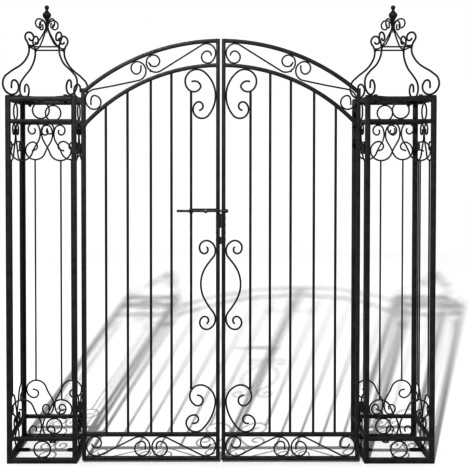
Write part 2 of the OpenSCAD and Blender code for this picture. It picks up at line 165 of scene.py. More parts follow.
# ---- Sizes of the latch ----
bolt_low, bolt_high = cad_mm("latch_bolt")
strike_low, strike_high = cad_mm("latch_strike_plate")
LATCH_Y = -102.2
LATCH_Z = 722
LATCH_R = 3.25
LATCH_BORE_R = LATCH_R + 0.05
EYE_R = 7.45
EYE_HOLE_R = 4
EYE_HALF_T = 2.8
COLLAR_X = -43
GUIDE_FRONT = 4.2
GUIDE_HALF_H = 6
GUIDE_CORNER = 1.2
GUIDE_L = 10
STRAP_H = 7
STRAP_T = 3
STILE_FRONT = LEAF_Y - FRAME_W / 2
STRIKE_GAP = 0.3
STRIKE_SLOT_X = -3
STRIKE_SLOT_Z = (648, 674)
STRIKE_WELDS = 4

# ---- Bends of each wire: its start and heading there, then a chain of [radius, angle] ----
# A positive angle turns left, and a radius of 0 stands for a straight stretch of that length.
HEART = [[18.5, 16.6], 134], [
    [9, -176], [15.9, -206], [49.1, -56], [134.3, 14], [31.5, -119],
    [26.6, -110], [14.5, -95], [11, -91], [0, 9],
]
CROWN_LEG = [[120.2, 25], 85], [
    [63.6, 14], [9.1, 120], [22.4, 154], [31.2, 128], [219.3, 11],
    [84.7, -36], [39.2, -67], [14.4, 229], [8.1, 158],
]
CROWN_UPPER = [[59.4, 151.6], -171], [
    [27, -55], [163.5, -15], [0, 8.3], [20.8, -132], [13.2, -179], [3.9, -71], [18.8, -36],
]
LOW_BAND = [[-368.4, 53.9], -77], [
    [13.9, 176], [19, 110], [28.3, 177.7], [0, 109.3],
    [29.6, -149.7], [21, -227], [11.2, -100], [232.4, -3],
]
ARCH_BAND_1 = [[-368, 1022.2], 95], [
    [70.7, -15], [9.9, -91], [19.6, -199], [29.1, -138], [1228.7, -3],
    [637.2, 6], [27.2, 147], [17.9, 171], [12.1, 107], [58.3, 14],
]
ARCH_BAND_2 = [[-203.9, 1142.9], -78], [
    [15.5, 196], [18.7, 129], [26.7, 145], [0, 137.2],
    [25.4, -117], [33.1, -54], [17.2, -210], [11.4, -104],
]
MEET_TOP = [[-82.4, 1088], 25], [
    [18.4, -103], [3, -32], [21.1, -117], [33.5, -173], [86.9, -89], [25, -189], [12, -214],
]
MEET_MIDDLE = [[-39.7, 618.6], -43.3], [
    [10.9, -185], [20.2, -161], [30, -96], [158.2, -6], [116.1, 12],
    [92.7, 56], [196.8, 13], [32.2, -96], [19.5, -173], [11, -189],
]
MEET_LOW = [[-66.9, 194.3], 5], [
    [15.1, -217], [31.1, -173], [50.2, -74], [127.6, -36],
    [28, -103], [23.1, -121], [12.2, -204],
]
BEND_STEP = 6

# ---- Outlines: each is a function of how far the outline is drawn in ----
CORNER_STEPS = 3
TUBE_CORNER = 1.4
SMALLEST_CORNER = 0.15
ROUND_SIDES = 24
WIRE_SIDES = 12


def round_outline(r, sides=ROUND_SIDES):
    def outline(inset=0.0):
        angles = [2 * math.pi * k / sides for k in range(sides)]
        return [((r - inset) * math.cos(a), (r - inset) * math.sin(a)) for a in angles]
    return outline


def corner_arcs(low, high, r, steps=CORNER_STEPS):
    """Round corners of the box from low to high, anticlockwise: [(x, y, angle)]."""
    found = []
    for quarter, (sx, sy) in enumerate(((1, 1), (-1, 1), (-1, -1), (1, -1))):
        x = high[0] - r if sx > 0 else low[0] + r
        y = high[1] - r if sy > 0 else low[1] + r
        for k in range(steps + 1):
            angle = 90 * (quarter + k / steps)
            a = math.radians(angle)
            found.append((x + r * math.cos(a), y + r * math.sin(a), angle))
    return found


def oblong_outline(w, d, corner=TUBE_CORNER):
    def outline(inset=0.0):
        r = max(corner - inset, SMALLEST_CORNER)
        high = (w / 2 - inset, d / 2 - inset)
        low = (-high[0], -high[1])
        return [(x, y) for x, y, _ in corner_arcs(low, high, r)]
    return outline


# ---- Pieces ----


class Piece:
    """Gathers closed shells, in millimetres, and becomes one object that stands for a CAD node."""

    def __init__(self, node):
        self.node = node
        self.points = []
        self.faces = []

    def add(self, shell, place=IDENTITY):
        points, faces = shell
        base = len(self.points)
        self.points += [place @ Vector(p) for p in points]
        step = -1 if place.determinant() < 0 else 1
        self.faces += [[base + i for i in face][::step] for face in faces]

    def finish(self, body, material, slot=STEEL_SLOT):
        mesh = bpy.data.meshes.new(self.node + "_mesh")
        above_ground = [Vector((p.x, p.y, max(p.z, 0))) * MM for p in self.points]
        mesh.from_pydata(above_ground, [], self.faces)
        mesh.shade_smooth()
        mesh.set_sharp_from_angle(angle=math.radians(SHARP_ANGLE))
        mesh.materials.append(material)
        made = bpy.data.objects.new(self.node + "_" + FINISH_NAMES[slot], mesh)
        bpy.context.scene.collection.objects.link(made)
        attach(made, body)
        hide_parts(self.node)


def skin(rings, loop=False):
    """Joins rings of points into a closed shell, capped at both ends or joined into a loop."""
    n = len(rings[0])
    points = [p for ring in rings for p in ring]
    faces = []
    for i in range(len(rings) if loop else len(rings) - 1):
        a = i * n
        b = (i + 1) % len(rings) * n
        for k in range(n):
            m = (k + 1) % n
            faces.append([a + k, a + m, b + m, b + k])
    if not loop:
        last = (len(rings) - 1) * n
        faces.append(list(range(n))[::-1])
        faces.append(list(range(last, last + n)))
    return points, faces


def stack(levels, loop=False):
    """Skin over outlines at heights: levels is [(z, outline points)]."""
    return skin([[(x, y, z) for x, y in outline] for z, outline in levels], loop)


def solid(outline, z0, z1, edge=0.4):
    """Solid bar between two heights, its ends bevelled."""
    return stack([
        (z0, outline(edge)), (z0 + edge, outline()),
        (z1 - edge, outline()), (z1, outline(edge)),
    ])


def pipe(outline, z0, z1, wall=WALL, edge=0.3):
    """Tube between two heights, open at both ends."""
    return stack([
        (z0, outline(edge)), (z0 + edge, outline()), (z1 - edge, outline()), (z1, outline(edge)),
        (z1, outline(wall)), (z0, outline(wall)),
    ], loop=True)


def lathe(profile, loop=False, sides=ROUND_SIDES):
    """Turned shape: profile is [(radius, z)] from the bottom up."""
    return stack([(z, round_outline(r, sides)()) for r, z in profile], loop)


def smooth_profile(points, steps=4):
    """Catmull-Rom curve through the points of a profile."""
    ends = [points[0], *points, points[-1]]
    curve = []
    for i in range(len(points) - 1):
        p0, p1, p2, p3 = (Vector(p) for p in ends[i:i + 4])
        for k in range(steps):
            t = k / steps
            curve.append(
                0.5 * (2 * p1 + (p2 - p0) * t + (2 * p0 - 5 * p1 + 4 * p2 - p3) * t ** 2
                       + (3 * p1 - p0 - 3 * p2 + p3) * t ** 3)
            )
    curve.append(Vector(points[-1]))
    return [(p.x, p.y) for p in curve]


def torus(ring_r, wire_r, steps=48, sides=WIRE_SIDES):
    """Ring of round wire in the XY plane."""
    rings = []
    for i in range(steps):
        a = 2 * math.pi * i / steps
        rings.append([
            ((ring_r + x) * math.cos(a), (ring_r + x) * math.sin(a), -y)
            for x, y in round_outline(wire_r, sides)()
        ])
    return skin(rings, loop=True)


# ---- Wire: a state is a place and the heading there, (x, y, degrees) ----
BLUNT_R = 0.72
BLUNT_LENGTH = 0.3


def furthest(states, dx, dz):
    """The state of a wire that reaches furthest in a direction."""
    return max(states, key=lambda state: state[0] * dx + state[1] * dz)


def bent(start, bends):
    """The states along a chain of bends, a few degrees apart."""
    (x, y), h = start
    states = [(x, y, h)]
    for r, a in bends:
        n = 1 if r == 0 else max(1, math.ceil(abs(a) / BEND_STEP))
        for k in range(1, n + 1):
            h0 = math.radians(h)
            if r == 0:
                end = (x + a * math.cos(h0), y + a * math.sin(h0), h)
            else:
                side = math.copysign(r, a)
                h1 = math.radians(h + a * k / n)
                end = (
                    x + side * (math.sin(h1) - math.sin(h0)),
                    y + side * (math.cos(h0) - math.cos(h1)),
                    h + a * k / n,
                )
            states.append(end)
        x, y, h = end
    return states


def wire_ring(state, r, ahead=0.0, sides=WIRE_SIDES):
    """The points round a wire at a state, or a little ahead of it."""
    x, y, h = state
    c, s = math.cos(math.radians(h)), math.sin(math.radians(h))
    return [
        (x + ahead * c - a * s, y + ahead * s + a * c, b)
        for a, b in round_outline(r, sides)()
    ]


def wire(states, r):
    """Round wire along states in the XY plane, with blunt ends."""
    rings = [wire_ring(states[0], r * BLUNT_R, -r * BLUNT_LENGTH)]
    rings += [wire_ring(state, r) for state in states]
    rings.append(wire_ring(states[-1], r * BLUNT_R, r * BLUNT_LENGTH))
    return skin(rings)


def closed_wire(states, r):
    """Round wire along states that end where they start."""
    return skin([wire_ring(state, r) for state in states], loop=True)


def square_path(half, corner):
    """States round a square with round corners, anticlockwise."""
    arcs = corner_arcs((-half, -half), (half, half), corner, 2 * CORNER_STEPS)
    return [(x, y, a + 90) for x, y, a in arcs]


# ---- Plates ----


def offset_loop(loop, inset):
    """A loop moved to its left by inset, with mitred corners."""
    moved = []
    for i, p in enumerate(loop):
        before = (Vector(p) - Vector(loop[i - 1])).normalized()
        after = (Vector(loop[(i + 1) % len(loop)]) - Vector(p)).normalized()
        n = Vector((-before.y - after.y, before.x + after.x))
        n /= max(n.length_squared / 2, 0.3)
        moved.append((p[0] + n.x * inset, p[1] + n.y * inset))
    return moved


def plate(outline, holes, thickness, edge=0.4):
    """Flat plate on z = 0 with bevelled edges: outline anticlockwise, holes clockwise."""
    points, faces = [], []
    flat_loops = []
    for loop in [outline, *holes]:
        base = len(points)
        inner = offset_loop(loop, edge)
        n = len(loop)
        for level, z in ((inner, 0), (loop, edge), (loop, thickness - edge), (inner, thickness)):
            points += [(x, y, z) for x, y in level]
        for row in range(3):
            a = base + row * n
            for k in range(n):
                m = (k + 1) % n
                faces.append([a + k, a + m, a + n + m, a + n + k])
        flat_loops.append((base, n, inner))
    bottom_of, top_of = [], []
    for base, n, _ in flat_loops:
        bottom_of += [base + k for k in range(n)]
        top_of += [base + 3 * n + k for k in range(n)]
    flat = [[Vector((x, y, 0)) for x, y in inner] for _, _, inner in flat_loops]
    corners = [v for loop in flat for v in loop]
    for tri in tessellate_polygon(flat):
        a, b, c = (corners[i] for i in tri)
        tri = tri if (b - a).cross(c - a).z > 0 else tri[::-1]
        faces.append([top_of[i] for i in tri])
        faces.append([bottom_of[i] for i in tri[::-1]])
    return points, faces


def hole(x, y, r, sides=ROUND_SIDES):
    """A round hole's outline for a plate."""
    return [(x + px, y + py) for px, py in round_outline(r, sides)()][::-1]


# ---- Welds: dabs by half their length and width, and seams round the ends of tubes and bars ----
# The numbers that follow a dab's size are seeds, a run of them for each set of welds.
RING_DAB = (7.0, 2.9)
SCROLL_DAB = (6.0, 2.7)
ROD_DAB = (3.2, 2.6)
LUG_DAB = (4.6, 1.4)
BRACKET_DAB = (5.2, 1.3)
CROSS_BAR_DAB = (3.6, 1.1)
LEG_FOOT_DAB = (6.5, 2.6)
LEG_RING_DAB = (4.6, 2.6)
UPPER_STEM_DAB = (4.6, 1.8)
UPPER_FOOT_DAB = (3.6, 2.4)
ARCH_DAB = (4.2, 1.6)
SHORT_BAR_DAB = (3.4, 3.6)
LEAF_SCROLL_DAB = (4.4, 1.9)
BARREL_DAB = (9.5, 1.3)
EYE_DAB = (3.2, 1.6)
STRAP_DAB = (3.8, 1.9)
STRIKE_DAB = (4.6, 1.2)
DAB_LEVELS = 7
DAB_SIDES = 10
DAB_LUMPS = (0.82, 1.12)
BEAD_RIPPLE = 1.7
BEAD_SWELL = (-0.05, 0.22)
BEAD_UNEVEN = 0.12
BEAD_SIDES = 6
BEAD_R = 0.95
BEAD_INSET = 0.5
TOUCH = 0.8


def dab(along, across, seed):
    """A small lump of weld, long along X."""
    draw = random.Random(seed)
    rings = []
    lumps = [draw.uniform(*DAB_LUMPS) for _ in range(DAB_LEVELS * DAB_SIDES)]
    for i in range(DAB_LEVELS):
        a = math.pi * (i + 0.35) / (DAB_LEVELS - 0.3)
        ring = []
        for k in range(DAB_SIDES):
            b = 2 * math.pi * k / DAB_SIDES
            r = across * math.sin(a) * lumps[i * DAB_SIDES + k]
            ring.append((r * math.cos(b), r * math.sin(b), -along * math.cos(a)))
        rings.append(ring)
    points, faces = skin(rings)
    return [ALONG_X @ Vector(p) for p in points], faces


def bead(outline, r, seed):
    """A thin rippled seam round a tube's outline, in the XY plane."""
    draw = random.Random(seed)
    path = []
    for i, p in enumerate(outline):
        q = outline[(i + 1) % len(outline)]
        n = max(1, round(math.dist(p, q) / BEAD_RIPPLE))
        h = math.degrees(math.atan2(q[1] - p[1], q[0] - p[0]))
        path += [(p[0] + (q[0] - p[0]) * k / n, p[1] + (q[1] - p[1]) * k / n, h) for k in range(n)]
    rings = []
    for i, state in enumerate(path):
        size = r * (1.0 + BEAD_SWELL[i % 2] + draw.uniform(-BEAD_UNEVEN, BEAD_UNEVEN))
        rings.append(wire_ring(state, size, sides=BEAD_SIDES))
    return skin(rings, loop=True)


def weld_tube(piece, width, end, seed):
    """The seam where a square tube of this width ends against another, at the place end."""
    piece.add(bead(oblong_outline(width, width)(BEAD_INSET), BEAD_R, seed), end)


# ---- Materials: noise scales are in waves per metre ----
TINT_SCALE = 38
DUST_SCALE = 90
GLOSS_SCALE = 140
GLOSS_SPREAD = (-0.07, 0.09)
PEEL_SCALE = 850
PEEL_DEPTH = 0.00008
WAVE_SCALE = 160
WAVE_DEPTH = 0.0002
PLASTIC_TINT_SCALE = 60
PLASTIC_GLOSS_SCALE = 300
PLASTIC_GRAIN_SCALE = 2200
FACING_UP = (0.25, 0.95)


class Nodes:
    """Short forms for building one material's node tree."""

    def __init__(self, name):
        self.material = bpy.data.materials.new(name)
        self.material.use_nodes = True
        self.tree = self.material.node_tree
        self.shader = self.tree.nodes["Principled BSDF"]
        self.place = self.tree.nodes.new("ShaderNodeTexCoord").outputs["Object"]

    def new(self, kind, **values):
        node = self.tree.nodes.new(kind)
        for key, value in values.items():
            setattr(node, key, value)
        return node

    def link(self, a, b):
        self.tree.links.new(a, b)

    def noise(self, scale, detail=3.0, roughness=0.5):
        node = self.new("ShaderNodeTexNoise")
        self.link(self.place, node.inputs["Vector"])
        node.inputs["Scale"].default_value = scale
        node.inputs["Detail"].default_value = detail
        node.inputs["Roughness"].default_value = roughness
        return node.outputs["Fac"]

    def spread(self, value, low, high, to_low=0.0, to_high=1.0):
        node = self.new("ShaderNodeMapRange", interpolation_type="SMOOTHSTEP")
        self.link(value, node.inputs["Value"])
        node.inputs["From Min"].default_value = low
        node.inputs["From Max"].default_value = high
        node.inputs["To Min"].default_value = to_low
        node.inputs["To Max"].default_value = to_high
        return node.outputs["Result"]

    def times(self, a, b):
        node = self.new("ShaderNodeMath", operation="MULTIPLY")
        self.link(a, node.inputs[0])
        self.link(b, node.inputs[1])
        return node.outputs["Value"]

    def blend(self, factor, a, b):
        """A colour between a and b: each is a colour or an output."""
        node = self.new("ShaderNodeMix", data_type="RGBA")
        self.link(factor, node.inputs["Factor"])
        for name, colour in (("A", a), ("B", b)):
            socket = next(s for s in node.inputs if s.name == name and s.type == "RGBA")
            if isinstance(colour, tuple):
                socket.default_value = (*colour, 1)
            else:
                self.link(colour, socket)
        return next(s for s in node.outputs if s.type == "RGBA")

    def bump(self, height, strength, distance, under=None):
        node = self.new("ShaderNodeBump")
        node.inputs["Strength"].default_value = strength
        node.inputs["Distance"].default_value = distance
        self.link(height, node.inputs["Height"])
        if under is not None:
            self.link(under, node.inputs["Normal"])
        return node.outputs["Normal"]

    def distance(self, point):
        """How far a place on the surface is from a point."""
        node = self.new("ShaderNodeVectorMath", operation="DISTANCE")
        self.link(self.place, node.inputs[0])
        node.inputs[1].default_value = point
        return node.outputs["Value"]

    def upward(self):
        """How far a surface faces up, from 0 to 1."""
        split = self.new("ShaderNodeSeparateXYZ")
        self.link(self.new("ShaderNodeNewGeometry").outputs["Normal"], split.inputs["Vector"])
        return self.spread(split.outputs["Z"], *FACING_UP)


def powder_coat(name, dark, light, dust, rough, metallic, specular):
    """Uneven satin black with dust on what faces up, orange peel and soft waves."""
    n = Nodes(name)
    tint = n.blend(n.spread(n.noise(TINT_SCALE, 4), 0.35, 0.65), dark, light)
    dusty = n.spread(n.noise(DUST_SCALE, 6, 0.65), 0.42, 0.72, 0.0, 0.5)
    n.link(n.blend(n.times(n.upward(), dusty), tint, dust), n.shader.inputs["Base Color"])
    gloss = [rough + change for change in GLOSS_SPREAD]
    n.link(n.spread(n.noise(GLOSS_SCALE, 5), 0.3, 0.7, *gloss), n.shader.inputs["Roughness"])
    peel = n.bump(n.noise(PEEL_SCALE, 2), 0.25, PEEL_DEPTH)
    n.link(n.bump(n.noise(WAVE_SCALE, 3), 0.25, WAVE_DEPTH, peel), n.shader.inputs["Normal"])
    n.shader.inputs["Metallic"].default_value = metallic
    n.shader.inputs["Specular IOR Level"].default_value = specular
    return n.material


def moulded_plastic(name, dark, light):
    n = Nodes(name)
    n.link(n.blend(n.noise(PLASTIC_TINT_SCALE, 4), dark, light), n.shader.inputs["Base Color"])
    gloss = n.spread(n.noise(PLASTIC_GLOSS_SCALE, 3), 0.3, 0.7, 0.5, 0.66)
    n.link(gloss, n.shader.inputs["Roughness"])
    n.link(n.bump(n.noise(PLASTIC_GRAIN_SCALE, 2), 0.4, PEEL_DEPTH), n.shader.inputs["Normal"])
    n.shader.inputs["Specular IOR Level"].default_value = 0.35
    return n.material


COAT = powder_coat(
    "powder_coat", dark=(0.011, 0.011, 0.012), light=(0.019, 0.019, 0.0205),
    dust=(0.055, 0.055, 0.053), rough=0.46, metallic=0.0, specular=0.22,
)
FASTENER = powder_coat(
    "black_fastener", dark=(0.03, 0.03, 0.032), light=(0.055, 0.055, 0.058),
    dust=(0.11, 0.105, 0.1), rough=0.4, metallic=0.3, specular=0.4,
)
PLASTIC = moulded_plastic("cap_plastic", dark=(0.02, 0.02, 0.02), light=(0.035, 0.035, 0.036))

# ---- Pillars ----


def rail_tube(width, half):
    """Square tube, centred, its ends buried a little in what it is welded to."""
    reach = half + RAIL_BURIED
    return pipe(oblong_outline(width, width), -reach, reach)


def make_posts(piece, pillar):
    post = pipe(oblong_outline(POST_W, POST_W), 0, PILLAR_H)
    for x in (-1, 1):
        for y in (-1, 1):
            piece.add(post, pillar @ at(x * POST_AXIS, y * POST_AXIS, 0))


def make_rails(piece, pillar, width, z):
    tube = rail_tube(width, INNER_HALF)
    for i, face in enumerate(FOUR_FACES):
        centre = pillar @ face @ at(0, -POST_AXIS, z + width / 2)
        piece.add(tube, centre @ ALONG_X)
        for end in (-1, 1):
            seam = centre @ at(end * INNER_HALF, 0, 0) @ ALONG_X
            weld_tube(piece, width, seam, round(z) * 10 + 2 * i + end)


def make_rings(piece, pillar):
    ring = torus(RING_R, ROD_R)
    for i, face in enumerate(FOUR_FACES):
        for j, z in enumerate(RING_Z):
            centre = pillar @ face @ at(0, -POST_AXIS, z)
            piece.add(ring, centre @ UPRIGHT)
            for end in (-1, 1):
                lump = dab(*RING_DAB, 100 + 10 * i + 2 * j + end)
                piece.add(lump, centre @ at(0, 0, end * (RING_R + 0.9)))


def make_scrolls(piece, pillar):
    """Hearts of two mirrored wires, on the lower rails and under the upper ones."""
    states = bent(*HEART)
    half = wire(states, ROD_R)
    welds = [
        (0, furthest(states, -1, 0)[1], 90), (INNER_HALF, furthest(states, 1, 0)[1], 90),
        (furthest(states, 0, -1)[0], 0, 0),
    ]
    standing = at(0, -POST_AXIS, lower_high.z)
    hanging = at(0, -POST_AXIS, upper_low.z) @ MIRROR_Z
    for i, face in enumerate(FOUR_FACES):
        for j, end in enumerate((standing, hanging)):
            for side in (IDENTITY, MIRROR_X):
                place = pillar @ face @ end @ side
                piece.add(half, place @ UPRIGHT)
                for k, (x, z, turn) in enumerate(welds):
                    lump = dab(*SCROLL_DAB, 200 + 20 * i + 4 * j + k)
                    piece.add(lump, place @ at(x, 0, z) @ turned(turn, "Y"))


def make_rods(piece, pillar):
    rod = solid(round_outline(ROD_R, 16), rod_low.z - 1.5, rod_high.z + 1.5)
    for i, face in enumerate(FOUR_FACES):
        for side in (-1, 1):
            foot = pillar @ face @ at(side * ROD_OFFSET, -POST_AXIS, 0)
            piece.add(rod, foot)
            for k, z in enumerate((rod_low.z - 1, rod_high.z + 1)):
                lump = dab(*ROD_DAB, 300 + 8 * i + 2 * side + k)
                piece.add(lump, foot @ at(0, 0, z) @ ALONG_X)


def make_lugs(piece, pillar):
    """Round-ended tongues inside the bottom rails, each with a hole."""
    half = LUG_W / 2
    root = -INNER_HALF - RAIL_BURIED
    steps = 16
    angles = [math.pi * k / steps for k in range(steps + 1)]
    end = [(half * math.cos(a), -LUG_CIRCLE_R + half * math.sin(a)) for a in angles]
    outline = [(-half, root), (half, root), *end]
    lug = plate(outline, [hole(0, -LUG_CIRCLE_R, LUG_HOLE_R)], LUG_T)
    for i, face in enumerate(FOUR_FACES):
        piece.add(lug, pillar @ face)
        for side in (-1, 1):
            seam = pillar @ face @ at(side * 5, -INNER_HALF + 0.3, LUG_T)
            piece.add(dab(*LUG_DAB, 400 + 2 * i + side), seam)


def make_hinge_pins(piece, pillar_side):
    """Brackets welded to the post and the pins that stand on them."""
    half = 5
    root = HINGE_GAP / 2 + RAIL_BURIED
    widest = 123.6
    steps = 20
    angles = [math.radians(widest * (2 * k / steps - 1)) for k in range(steps + 1)]
    arc = [(BARREL_R * math.cos(a), BARREL_R * math.sin(a)) for a in angles]
    outline = [*arc, (-root, half), (-root, -half)]
    bracket = plate(outline, [], BRACKET_H, 0.6)
    pin = lathe([
        (PIN_R, BRACKET_H - 1), (PIN_R, HINGE_H - 0.2), (PIN_R - 0.35, HINGE_H + 0.6),
        (PIN_R - 1.1, HINGE_H + 1.2), (PIN_R - 2.3, HINGE_H + 1.5),
    ])
    turn = IDENTITY if pillar_side == "left" else turned(180)
    axis_x = -HINGE_X if pillar_side == "left" else HINGE_X
    for k, z in enumerate(HINGE_Z):
        foot = at(axis_x, LEAF_Y, z - HINGE_H / 2) @ turn
        piece.add(bracket, foot)
        piece.add(pin, foot)
        for j, level in enumerate((0.6, BRACKET_H - 0.6)):
            seam = foot @ at(-HINGE_GAP / 2 + 0.4, 0, level) @ turned(90)
            piece.add(dab(*BRACKET_DAB, 500 + 2 * k + j), seam)


# ---- Crowns ----


def make_tabs(piece, pillar):
    """Tongues in the top corners that the crown is bolted to."""
    corner = INNER_HALF * math.sqrt(2)
    half = LUG_W / 2
    tip = [(corner - half, -half), (corner + 1, 0), (corner - half, half)]
    outline = [(TAB_START, -half), *tip, (TAB_START, half)]
    tab = plate(outline, [hole(BOLT_CIRCLE_R, 0, BOLT_HOLE_R)], TAB_T)
    for turn in FOUR_CORNERS:
        piece.add(tab, pillar @ turn @ at(0, 0, top_rail_low.z))


def make_cross_bars(piece, pillar):
    """One flat bar from corner to corner, and two halves that meet it in the middle."""
    corner = (PILLAR_HALF - 1) * math.sqrt(2)
    half = CROSS_BAR_W / 2
    tip = [(corner - half, -half), (corner, 0), (corner - half, half)]
    far_tip = [(-x, -y) for x, y in tip]
    near_hole = hole(BOLT_CIRCLE_R, 0, BOLT_HOLE_R)
    far_hole = hole(-BOLT_CIRCLE_R, 0, BOLT_HOLE_R)
    root = half - 0.3
    whole = plate([*tip, *far_tip], [near_hole, far_hole], CROSS_BAR_T, 0.6)
    joined = plate([(root, -half), *tip, (root, half)], [near_hole], CROSS_BAR_T, 0.6)
    piece.add(whole, pillar @ at(0, 0, PILLAR_H) @ turned(45))
    for k, turn in enumerate((135, 315)):
        bar = pillar @ at(0, 0, PILLAR_H) @ turned(turn)
        piece.add(joined, bar)
        for j in range(3):
            seam = bar @ at(half + 0.2, (j - 1) * 5.5, CROSS_BAR_T) @ turned(90)
            piece.add(dab(*CROSS_BAR_DAB, 600 + 3 * k + j), seam)


def make_bolts(piece, pillar):
    """Hexagon bolts with washers and nuts, and the thread that shows below."""
    hexagon = round_outline(HEX_R, 6)
    head_t = HEAD_T - WASHER_T
    head = stack([
        (0, hexagon(0.3)), (0.3, hexagon()), (head_t - 0.7, hexagon()), (head_t, hexagon(1.0)),
    ])
    nut = stack([
        (0, hexagon(1.0)), (0.7, hexagon()), (NUT_T - 0.3, hexagon()), (NUT_T, hexagon(0.3)),
    ])
    washer = solid(round_outline(HEX_R + 0.9), 0, WASHER_T, 0.2)
    turns = int((CROWN_Z - 2 - BOLT_BOTTOM) / THREAD_PITCH)
    start = BOLT_BOTTOM + 0.4
    root_r = BOLT_R - 0.55
    thread = [(BOLT_R - 0.9, BOLT_BOTTOM), (root_r, start)]
    for k in range(turns):
        z = start + k * THREAD_PITCH
        thread += [(BOLT_R, z + THREAD_PITCH / 2), (root_r, z + THREAD_PITCH)]
    thread.append((BOLT_R - 0.1, CROWN_Z))
    shank = lathe(thread, sides=16)
    for i, turn in enumerate(FOUR_CORNERS):
        centre = pillar @ turn @ at(BOLT_CIRCLE_R, 0, 0)
        piece.add(shank, centre)
        piece.add(washer, centre @ at(0, 0, CROWN_Z))
        piece.add(head, centre @ at(0, 0, CROWN_Z + WASHER_T) @ turned(17 * i))
        piece.add(nut, centre @ at(0, 0, top_rail_low.z - NUT_T) @ turned(23 * i))


def make_legs(piece, pillar):
    """Bent legs that stand on the cross bars, tied by the crown ring."""
    states = bent(*CROWN_LEG)
    leg = wire(states, LEG_WIRE_R)
    foot_x = furthest(states, 0, -1)[0]
    for i, turn in enumerate(FOUR_CORNERS):
        corner = pillar @ turn @ at(0, 0, PILLAR_H)
        piece.add(leg, corner @ UPRIGHT)
        piece.add(dab(*LEG_FOOT_DAB, 700 + i), corner @ at(foot_x, 0, CROSS_BAR_T + 0.6))
        beside_ring = corner @ at(RING_CORNER_R + 0.8, 0, CROWN_RING_Z - PILLAR_H)
        piece.add(dab(*LEG_RING_DAB, 710 + i), beside_ring @ ALONG_X)


def make_crown_ring(piece, pillar):
    ring = closed_wire(square_path(CROWN_RING_HALF, CROWN_RING_CORNER), CROWN_WIRE_R)
    piece.add(ring, pillar @ at(0, 0, CROWN_RING_Z))


def make_upper_scrolls(piece, pillar):
    states = bent(*CROWN_UPPER)
    scroll = wire(states, BAND_WIRE_R)
    stem_z = furthest(states, -1, 0)[1]
    for i, turn in enumerate(FOUR_CORNERS):
        corner = pillar @ turn @ at(0, 0, PILLAR_H)
        piece.add(scroll, corner @ UPRIGHT)
        piece.add(dab(*UPPER_STEM_DAB, 760 + i), corner @ at(2.4, 0, stem_z) @ ALONG_X)
        piece.add(dab(*UPPER_FOOT_DAB, 770 + i), corner @ at(states[0][0], 0, states[0][1]))


def make_stem(piece, pillar):
    profile = [
        (1.5, 1240), (1.5, 1252), (1.6, 1262), (1.9, 1267), (2.6, 1270.5),
        (3.8, 1274), (5.6, 1277.5), (6.8, 1279.6), (7.0, 1280.6), (6.4, 1281.2),
    ]
    piece.add(lathe(smooth_profile(profile)), pillar)


def make_finial(piece, pillar):
    profile = [
        (6.4, 1281), (8.4, 1282.8), (10.6, 1286), (12.1, 1290.2), (12.1, 1293), (10.4, 1296.6),
        (7.4, 1299.8), (5.2, 1302.8), (3.8, 1305.6), (3.6, 1307.6), (4.9, 1309.4), (6.0, 1311.8),
        (6.2, 1314.2), (5.5, 1317), (3.8, 1318.9), (1.6, 1319.8), (0.3, 1319.9),
    ]
    piece.add(lathe(smooth_profile(profile), sides=32), pillar)


# ---- Leaves, as the one on the +X side ----


def make_stile(piece, leaf, x, top):
    tube = pipe(oblong_outline(FRAME_W, FRAME_W), stile_low.z, top)
    piece.add(tube, leaf @ at(x, LEAF_Y, 0))


def make_caps(piece, leaf):
    """Plugs in both ends of the stiles, each a flat head and the part that goes into the tube."""
    head = solid(oblong_outline(FRAME_W, FRAME_W, 1.6), 0, CAP_T, 0.5)
    plug_w = FRAME_W - 2 * WALL - 0.2
    plug = solid(oblong_outline(plug_w, plug_w, 0.8), -CAP_PLUG_H, 0.2, 0.3)
    for x, top in ((STILE_X, stile_high.z), (MEET_X, meet_high.z)):
        for end in (at(x, LEAF_Y, top), at(x, LEAF_Y, stile_low.z) @ MIRROR_Z):
            piece.add(head, leaf @ end)
            piece.add(plug, leaf @ end)


def make_arch(piece, leaf, r):
    """Square tube bent round the centre of the arches, its ends buried a little in the stiles."""
    a0 = math.acos((STILE_INNER + RAIL_BURIED) / r)
    a1 = math.acos((MEET_INNER - RAIL_BURIED) / r)
    steps = 40
    rings = []
    for i in range(steps + 1):
        a = a0 + (a1 - a0) * i / steps
        rings.append([
            ((r + x) * math.cos(a), LEAF_Y + y, ARCH_Z + (r + x) * math.sin(a))
            for x, y in oblong_outline(FRAME_W, FRAME_W)()
        ])
    piece.add(skin(rings), leaf)
    for end, a in enumerate((a0, a1)):
        for k in (-1, 1):
            edge_r = r + k * FRAME_W / 2
            x = edge_r * math.cos(a) + (end - 0.5) * 2.4
            place = leaf @ at(x, LEAF_Y, ARCH_Z + edge_r * math.sin(a)) @ turned(90)
            piece.add(dab(*ARCH_DAB, 800 + 2 * end + k), place)


def make_cross_rails(piece, leaf):
    half = (STILE_INNER - MEET_INNER) / 2
    tube = rail_tube(FRAME_W, half)
    for k, z in enumerate(CROSS_RAIL_Z):
        centre = leaf @ at(LEAF_MIDDLE, LEAF_Y, z + FRAME_W / 2)
        piece.add(tube, centre @ ALONG_X)
        for end in (-1, 1):
            seam = centre @ at(end * half, 0, 0) @ ALONG_X
            weld_tube(piece, FRAME_W, seam, 820 + 2 * k + end)


